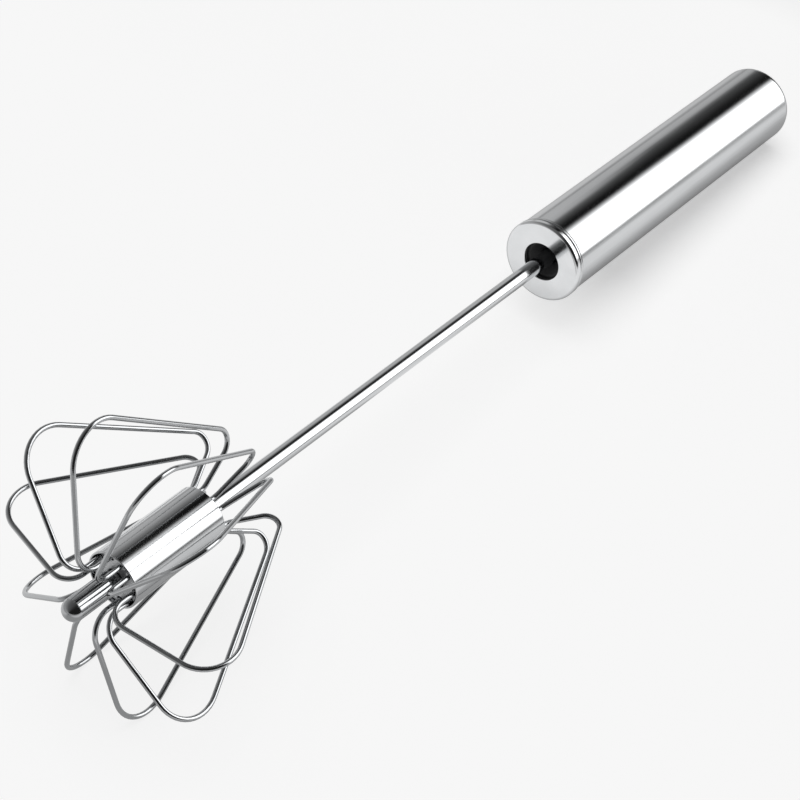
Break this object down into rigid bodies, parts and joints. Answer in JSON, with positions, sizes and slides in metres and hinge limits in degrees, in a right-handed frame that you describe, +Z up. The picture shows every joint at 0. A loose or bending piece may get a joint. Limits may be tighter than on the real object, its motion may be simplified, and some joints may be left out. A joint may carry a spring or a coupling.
{
  "type": "egg beater",
  "caption": "Hand-push whisk: pressing the round steel handle down its thin shaft spins a hub of bent wire loops, and a spring inside the handle lifts it again.",
  "frame": {"origin": "on the surface that the whisk lies on, under the middle of its bounding box", "axes": "+X towards the closed end of the handle and level with the surface, +Z up; the shaft slopes down towards the handle by 5.3 degrees"},
  "size_m": [0.287, 0.065, 0.0716],
  "materials": {
    "polished_steel": "polished stainless steel",
    "wire_steel": "bright drawn stainless wire",
    "satin_steel": "satin stainless steel",
    "spring_steel": "drawn spring wire",
    "black_plastic": "moulded black plastic",
    "natural_nylon": "moulded natural nylon"
  },
  "bodies": {
    "handle": {"handle_shell": "polished_steel", "mouth_flange": "satin_steel", "guide_bush": "black_plastic", "end_plug": "natural_nylon", "twist_strip": "satin_steel", "strip_pin": "spring_steel", "return_spring": "spring_steel"},
    "press_carriage": {"thrust_washer": "satin_steel"},
    "whisk": {"drive_nut": "natural_nylon", "shaft_tube": "polished_steel", "foot_cap": "polished_steel", "hub_sleeve": "polished_steel", "upper_collar": "satin_steel", "lower_collar": "satin_steel", "wire_loop_01": "wire_steel", "wire_loop_02": "wire_steel", "wire_loop_03": "wire_steel", "wire_loop_04": "wire_steel", "wire_loop_05": "wire_steel", "wire_loop_06": "wire_steel", "wire_loop_07": "wire_steel", "wire_loop_08": "wire_steel", "wire_loop_09": "wire_steel", "wire_loop_10": "wire_steel"}
  },
  "joints": [
    {"name": "handle_press", "type": "slide", "parent": "handle", "child": "press_carriage", "axis": [0.9957, 0, -0.0925], "range_m": [0, 0.048], "stiffness_N_per_m": 200, "springref_m": -0.02, "deforming": ["return_spring"]},
    {"name": "whisk_spin", "type": "hinge", "parent": "press_carriage", "child": "whisk", "pos_m": [0.03172, 0, 0.02113], "axis": [0.9957, 0, -0.0925], "range_deg": [-5, 545]}
  ],
  "couplings": [
    {"joint": "whisk_spin", "follows": "handle_press", "rad_per_m": 196.35}
  ]
}
